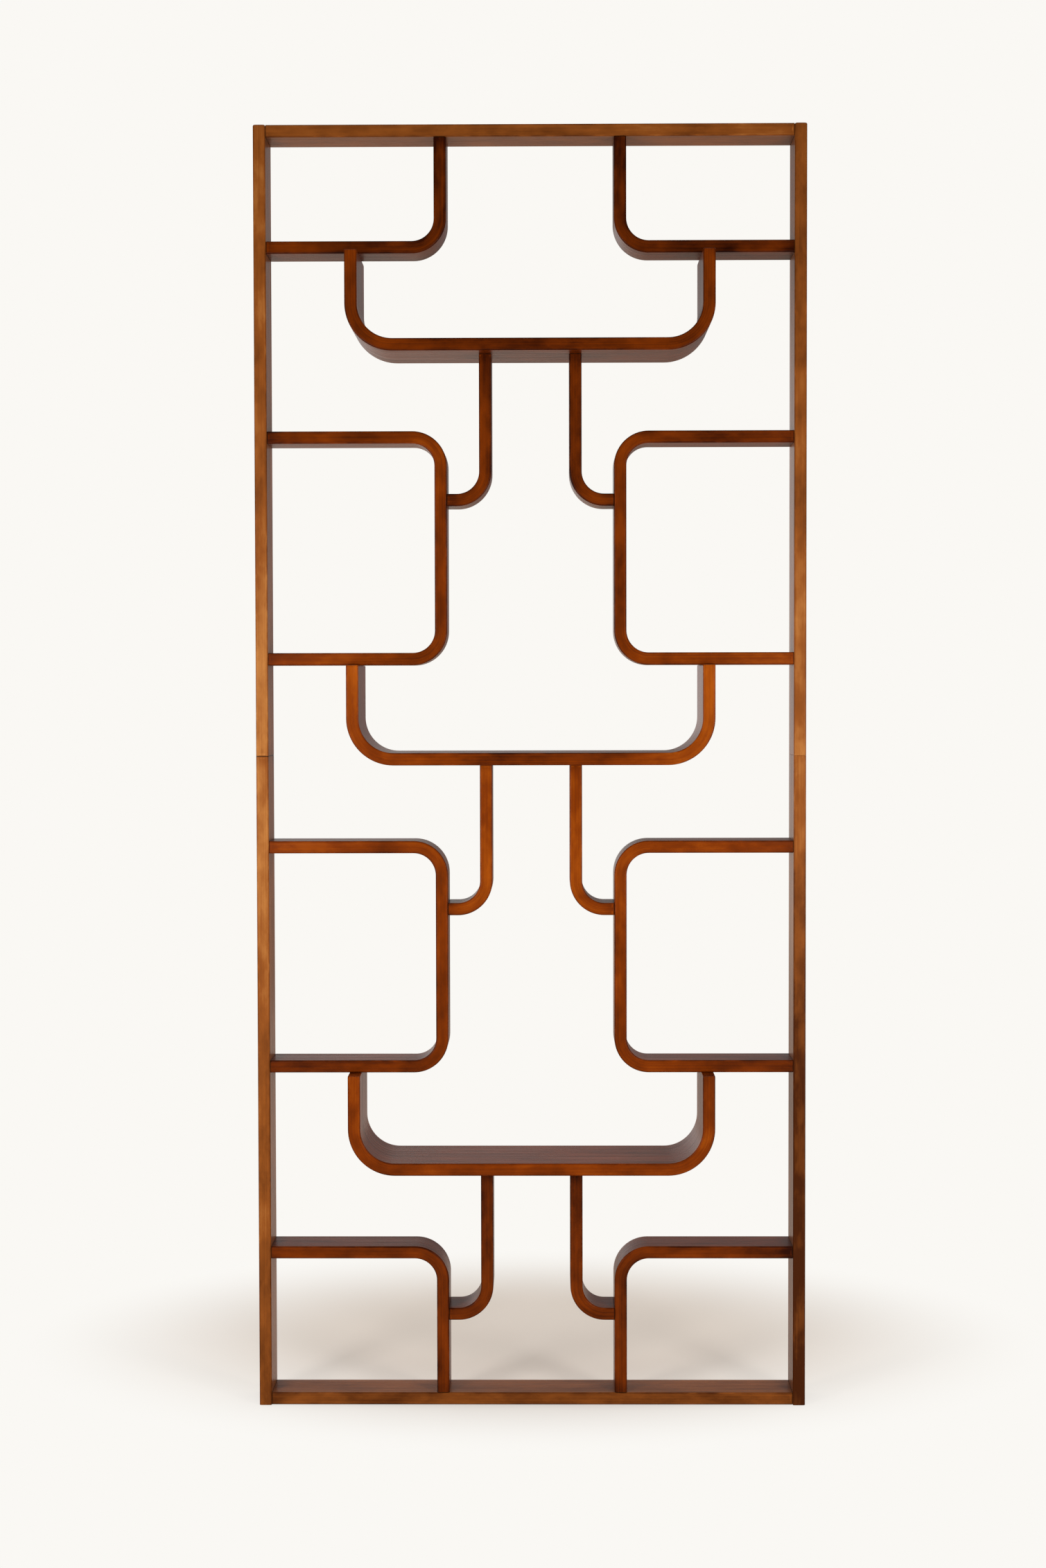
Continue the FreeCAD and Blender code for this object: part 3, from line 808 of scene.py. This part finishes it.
boards = []
for side, turn, splice in (("left", tuple, BUTTED), ("right", mirrored, FITTED)):
    for node, ends, dowels in (
        (f"{side}_upright_lower", (FITTED, splice), (None, SPLICE_DOWELS)),
        (f"{side}_upright_upper", (splice, FREE), (None, None)),
    ):
        boards.append(Board(node, STRAIGHT_UP, NO_BEND, ends, dowels, amber, "frame_wood"))
    for node, corners, dowels in (
        (f"top_{side}_corner_shelf", DOWN_AND_OUT, SHELF_DOWELS),
        (f"bottom_{side}_corner_shelf", OUT_AND_DOWN, SHELF_DOWELS),
        (f"lower_{side}_box", C_SHAPE, BOX_DOWELS),
        (f"upper_{side}_box", C_SHAPE, BOX_DOWELS),
        (f"lower_{side}_hook", DOWN_AND_OUT, HOOK_DOWELS),
        (f"middle_{side}_hook", DOWN_AND_OUT, HOOK_DOWELS),
        (f"upper_{side}_hook", DOWN_AND_OUT, HOOK_DOWELS),
    ):
        boards.append(Board(node, turn(corners), BEND_RADIUS, BOTH_BUTTED, dowels, red_brown, "bent_wood"))
for node in ("top_rail", "bottom_rail"):
    boards.append(Board(node, STRAIGHT_ACROSS, NO_BEND, BOTH_BUTTED, RAIL_DOWELS, amber, "frame_wood"))
for node in ("lower_tray", "middle_tray", "upper_tray"):
    boards.append(Board(node, U_SHAPE, TRAY_BEND_RADIUS, TRAY_TIPS, TRAY_DOWELS, red_brown, "bent_wood"))
print("boards:", len(boards))

# %% [markdown]
# ## How dark each board is
#
# The boards did not all take the stain alike, and part of each tone is painted light and shade: the boards
# are lighter round mid-height and darker towards the top and the foot, as a lamp at chest height would leave
# them. So the uprights are pale round their splice, the right one darkens towards its foot, the middle tray
# has pale legs, and the corner shelves at the top are dark. A random tone for each board would be quicker,
# but it would not be this screen. Six tones are enough: seven boards are an even brown, and most of the
# others drift from one tone to the next. Three values give the start, the middle and the end of a board.

# %% Choose the stains
DEEP = 0.02
DARK = 0.16
BROWN = 0.31
WARM = 0.46
GOLDEN = 0.62
PALE = 0.80
EVEN_STAIN = (BROWN, BROWN, BROWN)
# These tones are partly stain and partly painted light and shade: lighter round mid-height, darker towards
# the top and the foot.
OTHER_STAINS_AND_LIGHT = {
    "left_upright_lower": (BROWN, WARM, GOLDEN),
    "left_upright_upper": (PALE, WARM, WARM),
    "right_upright_lower": (DEEP, DEEP, WARM),
    "right_upright_upper": (GOLDEN, WARM, BROWN),
    "top_rail": (WARM, WARM, WARM),
    "top_left_corner_shelf": (DARK, DARK, BROWN),
    "top_right_corner_shelf": (DARK, DARK, DARK),
    "upper_left_box": (BROWN, WARM, WARM),
    "upper_right_box": (BROWN, BROWN, GOLDEN),
    "lower_left_box": (WARM, WARM, BROWN),
    "lower_right_box": (WARM, WARM, BROWN),
    "middle_left_hook": (GOLDEN, GOLDEN, WARM),
    "middle_right_hook": (GOLDEN, GOLDEN, WARM),
    "lower_tray": (WARM, WARM, WARM),
    "middle_tray": (PALE, DARK, PALE),
    "upper_tray": (WARM, DARK, BROWN),
}
print("boards that are not an even brown:", len(OTHER_STAINS_AND_LIGHT))

# %% [markdown]
# ## Sweep them all
#
# Now the list is walked through once. Each finished board stands for the measured piece of the same name and
# rides on the screen's one body, and the places of its dowels are kept for later: a point on the joint and
# the direction in which the dowel leaves the board.

# %% Sweep all the boards
joints = {}
for number, board in enumerate(boards):
    low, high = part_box(board.node)
    points, first_heading, last_heading = board_corners(board.node, board.corners)
    route = board_route(points, first_heading, last_heading, board.bend, board.ends)
    ends = (board.ends[0].seam, board.ends[1].seam, float(number))
    # The board's tone: stain with painted light and shade.
    stain_and_light = OTHER_STAINS_AND_LIGHT.get(board.node, EVEN_STAIN)
    piece = sweep_board(f"{board.node}_board", route, high.y - low.y, ends, stain_and_light, board.finish)
    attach(piece, "root")
    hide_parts(board.node)
    tips = ((points[0], -first_heading), (points[-1], last_heading))
    for group, tip in zip(board.dowels, tips):
        if group:
            joints.setdefault(group, []).append(tip)
print("joints for each group of dowels:", {group: len(tips) for group, tips in joints.items()})

# %% [markdown]
# ## The dowels inside
#
# Two beech dowels hold each joint. They can't be seen once the screen is glued up, but someone who takes the
# model apart should find real ones: fluted, so that the glue can escape, and chamfered, so that they start
# easily in their holes. A plain cylinder would show neither. One dowel is a star-shaped section swept along
# a short line and drawn in at its tips. It repeats at every joint, which is what Instance on Points is for.

# %% Geometry tree: dowels
FLUTES = 12
DOWEL_RINGS = 4
CHAMFER_SHARE = 0.82


def make_dowel_tree():
    """Shape one fluted dowel, and copy it to every point along that point's axis."""
    inputs = {
        "Points": "geometry",
        **numbers("Radius", "Flute Depth", "Half Length", "Chamfer"),
        "Finish": "material",
    }
    tree, given, result = start_group("fluted_dowels", "GeometryNodeTree", inputs, {"Dowels": "geometry"})
    line = add(tree, "GeometryNodeCurvePrimitiveLine", {"Start": (0, 0, -1), "End": (0, 0, 1)}).outputs[0]
    rings = add(tree, "GeometryNodeResampleCurve", {"Curve": line, "Count": DOWEL_RINGS}).outputs[0]
    up = parts_of(tree, add(tree, "GeometryNodeInputPosition").outputs[0])["Z"]
    at_tip = calc(tree, "GREATER_THAN", calc(tree, "ABSOLUTE", up), 0.5)
    inner = calc(tree, "SUBTRACT", given["Half Length"], given["Chamfer"])
    height = calc(tree, "MULTIPLY", calc(tree, "SIGN", up), blend(tree, at_tip, inner, given["Half Length"]))
    width = blend(tree, at_tip, 1.0, CHAMFER_SHARE)
    rings = remember(tree, rings, "width", "FLOAT", width)
    moved = {"Geometry": rings, "Position": vector(tree, 0.0, 0.0, height)}
    rings = add(tree, "GeometryNodeSetPosition", moved).outputs[0]
    star = {
        "Points": FLUTES,
        "Outer Radius": given["Radius"],
        "Inner Radius": calc(tree, "SUBTRACT", given["Radius"], given["Flute Depth"]),
    }
    section = add(tree, "GeometryNodeCurveStar", star).outputs[0]
    scale = recall(tree, "width", "FLOAT")
    sweep = {"Curve": rings, "Profile Curve": section, "Scale": scale, "Fill Caps": True}
    dowel = add(tree, "GeometryNodeCurveToMesh", sweep).outputs[0]
    place = add(tree, "GeometryNodeInputPosition").outputs[0]
    dowel = remember(tree, dowel, "dowel_place", "FLOAT_VECTOR", place)
    turn = add(tree, "FunctionNodeAlignRotationToVector", {"Vector": recall(tree, "axis", "FLOAT_VECTOR")})
    copies = {"Points": given["Points"], "Instance": dowel, "Rotation": turn.outputs[0]}
    dowels = add(tree, "GeometryNodeInstanceOnPoints", copies).outputs[0]
    dowels = without(tree, dowels, "width", "axis")
    feed(tree, result["Dowels"], finished(tree, dowels, given["Finish"]))
    return tree


dowel_tree = make_dowel_tree()
print("dowel tree has", len(dowel_tree.nodes), "nodes")

# %% [markdown]
# ## Bare beech
#
# Dowels are neither stained nor lacquered. Bare beech is a pale pinkish brown with fine streaks along the
# dowel and many short darker flecks. A pattern laid on the whole screen would cross some dowels. This one
# follows the places that a dowel remembers from before it was copied, so the streaks run along it whichever
# way it points. Where it stands on the screen shifts the pattern, so that no two dowels are alike.

# %% Material: bare beech
DARK_BEECH = (0.46, 0.27, 0.14, 1.0)
PALE_BEECH = (0.66, 0.45, 0.27, 1.0)
FLECK_BROWN = (0.30, 0.15, 0.07, 1.0)
FLECK_LEVELS = (0.58, 0.68)
FLECK_SHARE = 0.6
SCREEN_SHIFT = 9.0
BEECH_ROUGHNESS = (0.62, 0.52)
BEECH_RELIEF = {"Strength": 0.3, "Distance": 0.0002}


def bare_beech():
    """Make the finish of the dowels."""
    finish, tree = new_finish("bare_beech")
    own = parts_of(tree, add(tree, "ShaderNodeAttribute", attribute_name="dowel_place").outputs["Vector"])
    on_screen = add(tree, "ShaderNodeTexCoord").outputs["Object"]
    shift = vector_calc(tree, "SCALE", on_screen, SCREEN_SHIFT)

    def stretched(side_scale, along_scale, detail):
        across = calc(tree, "MULTIPLY", own["X"], side_scale)
        through = calc(tree, "MULTIPLY", own["Y"], side_scale)
        along = calc(tree, "MULTIPLY", own["Z"], along_scale)
        place = vector_calc(tree, "ADD", vector(tree, across, through, along), shift)
        return noise(tree, place, detail)

    streaks = stretched(side_scale=900.0, along_scale=40.0, detail=4.0)
    flecks = fade(tree, stretched(side_scale=1600.0, along_scale=300.0, detail=1.0), *FLECK_LEVELS)
    colour = blend(tree, streaks, DARK_BEECH, PALE_BEECH, "RGBA")
    colour = blend(tree, calc(tree, "MULTIPLY", flecks, FLECK_SHARE), colour, FLECK_BROWN, "RGBA")
    roughness = fade(tree, streaks, 0.0, 1.0, *BEECH_ROUGHNESS)
    feed_shader(tree, colour, roughness, streaks, BEECH_RELIEF)
    return finish


beech = bare_beech()
print("dowel finish:", beech.name)

# %% [markdown]
# ## Set the dowels
#
# At each joint two dowels stand side by side, one towards the front and one towards the back. A dowel goes
# deeper into the sawn end of a board than into the face of its neighbour, so its middle lies a little behind
# the joint. Only the dowels of the splices, where two halves of an upright meet end to end, are longer and
# lie evenly. Eighty dowels would be slow to place by hand, and the ends of the routes already say where each
# one goes.

# %% Place the dowels in the joints
DOWEL_SIZES = {"Radius": 0.004, "Flute Depth": 0.0004, "Chamfer": 0.0015}
DOWEL_SPREAD = 0.025
END_DEPTH = 0.018
FACE_DEPTH = 0.014
SPLICE_DEPTH = 0.040
END_ROOM = 0.0005


def set_dowels(group, tips):
    """Set two dowels at every tip, and make them one piece."""
    spliced = group == SPLICE_DOWELS
    in_end = SPLICE_DEPTH if spliced else END_DEPTH
    in_face = SPLICE_DEPTH if spliced else FACE_DEPTH
    middles = [point + heading * (in_face - in_end) / 2 for point, heading in tips]
    spread = Vector(THROUGH) * DOWEL_SPREAD
    places = [middle + spread * way for middle in middles for way in (-1, 1)]
    mesh = bpy.data.meshes.new(f"{group}_places")
    mesh.from_pydata(places, [], [])
    axes = mesh.attributes.new("axis", "FLOAT_VECTOR", "POINT")
    axes.data.foreach_set("vector", [number for point, heading in tips for number in (*heading, *heading)])
    piece = new_piece(f"{group}_set", mesh)
    half_length = (in_end + in_face) / 2 - END_ROOM
    add_tree(piece, "Dowels", dowel_tree, {**DOWEL_SIZES, "Half Length": half_length, "Finish": beech})
    plain_mesh(piece, f"{group}_set")
    return piece


for group, tips in joints.items():
    piece = set_dowels(group, tips)
    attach(piece, "root")
    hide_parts(group)
    print(group, "has", 2 * len(tips), "dowels and", len(piece.data.polygons), "faces")

# %% [markdown]
# ## The backdrop
#
# The screen stands against a plain pale backdrop, with the dark of the room behind the camera. A world made
# of one even colour would be simpler, but it would fill every shadow and lay a haze on the lacquer. So its
# strength depends on the direction: weak in front, stronger behind and above. The camera sees the plain
# backdrop, and so does light that has passed through something. Light that the lacquer has mirrored sees a
# dimmer one, and only behind the screen, which gives the broad faces their sheen at a low angle. At eye
# level it is bright on the left and dim on the right, and lower down it takes on the floor's warm tone.

# %% World: backdrop and soft light
BACKDROP = (0.956, 0.939, 0.905, 1.0)
SOFT_LIGHT = (1.0, 0.985, 0.96, 1.0)
DIM_FRONT = 0.15
BRIGHT_BACK = 0.90
BRIGHT_ABOVE = 1.05
MIRRORED_BACK = 0.40
MIRRORED_LEFT = 1.0
MIRRORED_RIGHT = 0.34
MIRRORED_FLOOR = (1.0, 0.79, 0.62, 1.0)
FRONT_TO_BACK = (-0.3, 0.5)
LEVEL_TO_ABOVE = (0.45, 0.9)
LEFT_TO_RIGHT = (-0.05, 0.07)
EYE_LEVEL = (0.09, 0.16)
FLOOR_TO_LEVEL = (-0.12, -0.02)


def show_mix(tree, share, under, over, output_kind):
    """Mix two shaders by a share, and send the result to the tree's output."""
    mixed = add(tree, "ShaderNodeMixShader")
    for socket, value in zip(mixed.inputs, (share, under.outputs[0], over.outputs[0])):
        feed(tree, socket, value)
    add(tree, output_kind, {"Surface": mixed.outputs[0]})


def make_world():
    """Light the scene by direction, and show the camera a plain backdrop."""
    world = bpy.data.worlds.new("studio")
    world.use_nodes = True
    tree = world.node_tree
    tree.nodes.clear()
    way = parts_of(tree, add(tree, "ShaderNodeTexCoord").outputs["Generated"])
    rays = add(tree, "ShaderNodeLightPath").outputs
    behind = fade(tree, way["Y"], *FRONT_TO_BACK)
    above = fade(tree, way["Z"], *LEVEL_TO_ABOVE)
    spread = blend(tree, above, blend(tree, behind, DIM_FRONT, BRIGHT_BACK), BRIGHT_ABOVE)
    eye_level = near(tree, calc(tree, "ABSOLUTE", way["Z"]), EYE_LEVEL)
    across = fade(tree, way["X"], *LEFT_TO_RIGHT, MIRRORED_LEFT, MIRRORED_RIGHT)
    back_wall = blend(tree, eye_level, MIRRORED_BACK, across)
    mirrored_light = blend(tree, behind, DIM_FRONT, back_wall)
    strength = blend(tree, rays["Is Glossy Ray"], spread, mirrored_light)
    mirrored_floor = calc(tree, "MULTIPLY", near(tree, way["Z"], FLOOR_TO_LEVEL), rays["Is Glossy Ray"])
    colour = blend(tree, mirrored_floor, SOFT_LIGHT, MIRRORED_FLOOR, "RGBA")
    soft = add(tree, "ShaderNodeBackground", {"Color": colour, "Strength": strength})
    seen = add(tree, "ShaderNodeBackground", {"Color": BACKDROP, "Strength": 1.0})
    straight = calc(tree, "MAXIMUM", rays["Is Camera Ray"], rays["Is Transmission Ray"])
    show_mix(tree, straight, soft, seen, "ShaderNodeOutputWorld")
    bpy.context.scene.world = world


make_world()
print("world:", bpy.context.scene.world.name)

# %% [markdown]
# ## The floor
#
# The floor is pale and plain, and it keeps the screen's soft shadow. Further out it has to run into the
# backdrop without an edge. A curved sheet of paper does that in a studio, but from one side only. Here the
# camera sees the backdrop's own colour further out, instead of the lit floor, and the change is spread over
# an oval round the screen and its shadow. The lit floor is darker than the backdrop, and the oval lies
# behind the screen, so it is also a painted shadow pool round the real shadow.

# %% Floor
# The floor's colour is darker than the backdrop, so the oval where it shows reads as a painted shadow pool.
FLOOR_COLOUR = (0.80, 0.72, 0.645, 1.0)
FLOOR_REACH = 6.0
# The oval sits behind the screen, where its shadow falls: a painted shadow pool.
SHADOW_POOL_MIDDLE = (0.0, 0.48, 0.0)
SHADOW_POOL_REACH = (1.05, 0.84, 1.0)
SHADOW_POOL_RIM = (0.3, 1.0)
PLAIN_IN_SHADOW_POOL = 0.05


def pale_floor():
    """Make the floor's finish: lit and darker in an oval, which is a painted shadow pool, plain beyond it.
    """
    finish, tree = new_finish("pale_floor")
    tree.nodes.clear()
    lit = add(tree, "ShaderNodeBsdfDiffuse", {"Color": FLOOR_COLOUR})
    plain = add(tree, "ShaderNodeEmission", {"Color": BACKDROP, "Strength": 1.0})
    place = add(tree, "ShaderNodeTexCoord").outputs["Object"]
    shadow_pool = {"Vector": place, "Location": SHADOW_POOL_MIDDLE, "Scale": SHADOW_POOL_REACH}
    centred = add(tree, "ShaderNodeMapping", shadow_pool, vector_type="TEXTURE").outputs[0]
    far = fade(tree, vector_calc(tree, "LENGTH", centred), *SHADOW_POOL_RIM, PLAIN_IN_SHADOW_POOL, 1.0)
    rays = add(tree, "ShaderNodeLightPath").outputs
    share = calc(tree, "MULTIPLY", far, rays["Is Camera Ray"])
    show_mix(tree, share, lit, plain, "ShaderNodeOutputMaterial")
    return finish


floor_corners = [(x * FLOOR_REACH, y * FLOOR_REACH, 0) for x, y in ((-1, -1), (1, -1), (1, 1), (-1, 1))]
floor_mesh = bpy.data.meshes.new("floor")
floor_mesh.from_pydata(floor_corners, [], [(0, 1, 2, 3)])
floor_mesh.materials.append(pale_floor())
floor = new_piece("floor", floor_mesh)
print("floor is", 2 * FLOOR_REACH, "m wide")

# %% [markdown]
# ## The lamps
#
# Two tall soft boxes stand left and right, between the camera and the screen. They light its front evenly
# and lay two faint shadows on the floor, spread outwards behind it. A point light would throw hard shadows.
# Area lights have the size of real soft boxes, and it is the size that makes the edge of a shadow soft.

# %% Lamps
LAMP_WIDTH = 0.5
LAMP_HEIGHT = 1.2
LAMP_PLACE = (1.35, -2.1, 1.15)
LAMP_TARGET = (0.0, 0.0, 1.15)
LAMP_SPREAD = math.radians(120)
LEFT_POWER = 13.0
RIGHT_POWER = 11.6


def soft_box(name, side, power):
    """Set up one soft box, on the left for side -1 and on the right for side 1."""
    data = bpy.data.lights.new(name, "AREA")
    data.shape = "RECTANGLE"
    data.size = LAMP_WIDTH
    data.size_y = LAMP_HEIGHT
    data.energy = power
    data.spread = LAMP_SPREAD
    light = new_piece(name, data)
    light.location = (side * LAMP_PLACE[0], LAMP_PLACE[1], LAMP_PLACE[2])
    light.rotation_mode = "QUATERNION"
    light.rotation_quaternion = (Vector(LAMP_TARGET) - light.location).to_track_quat("-Z", "Y")
    light.visible_camera = False


soft_box("soft_box_left", -1, LEFT_POWER)
soft_box("soft_box_right", 1, RIGHT_POWER)
print("lamps:", [light.name for light in bpy.data.lights])

# %% [markdown]
# ## The camera
#
# The camera stands a little right of the middle, almost five metres off, at chest height, and looks slightly
# down and to the left. It could be moved by eye until the picture fits. Here its place comes from the
# photograph's perspective, and so does its focal length, in pixels. Blender measures a lens against the
# longer side of the picture, so that length over the picture's height, times the sensor, gives millimetres.

# %% Set up the camera
PICTURE_HEIGHT = 2263
FOCAL_PIXELS = 3844.1
CAMERA_PLACE = (0.03137, -4.89097, 1.31591)
PITCH_DOWN = math.radians(2.078)
TURN_LEFT = math.radians(0.542)
ROLL = math.radians(-0.115)

camera_data = bpy.data.cameras.new("camera")
camera_data.lens = FOCAL_PIXELS / PICTURE_HEIGHT * camera_data.sensor_width
camera = new_piece("camera", camera_data)
aim = Matrix.Rotation(TURN_LEFT, 4, "Z") @ Matrix.Rotation(QUARTER_TURN - PITCH_DOWN, 4, "X")
camera.matrix_world = Matrix.Translation(CAMERA_PLACE) @ aim @ Matrix.Rotation(ROLL, 4, "Z")
bpy.context.scene.camera = camera
bpy.context.scene.view_settings.view_transform = "Standard"
print("lens in millimetres:", round(camera_data.lens, 2))
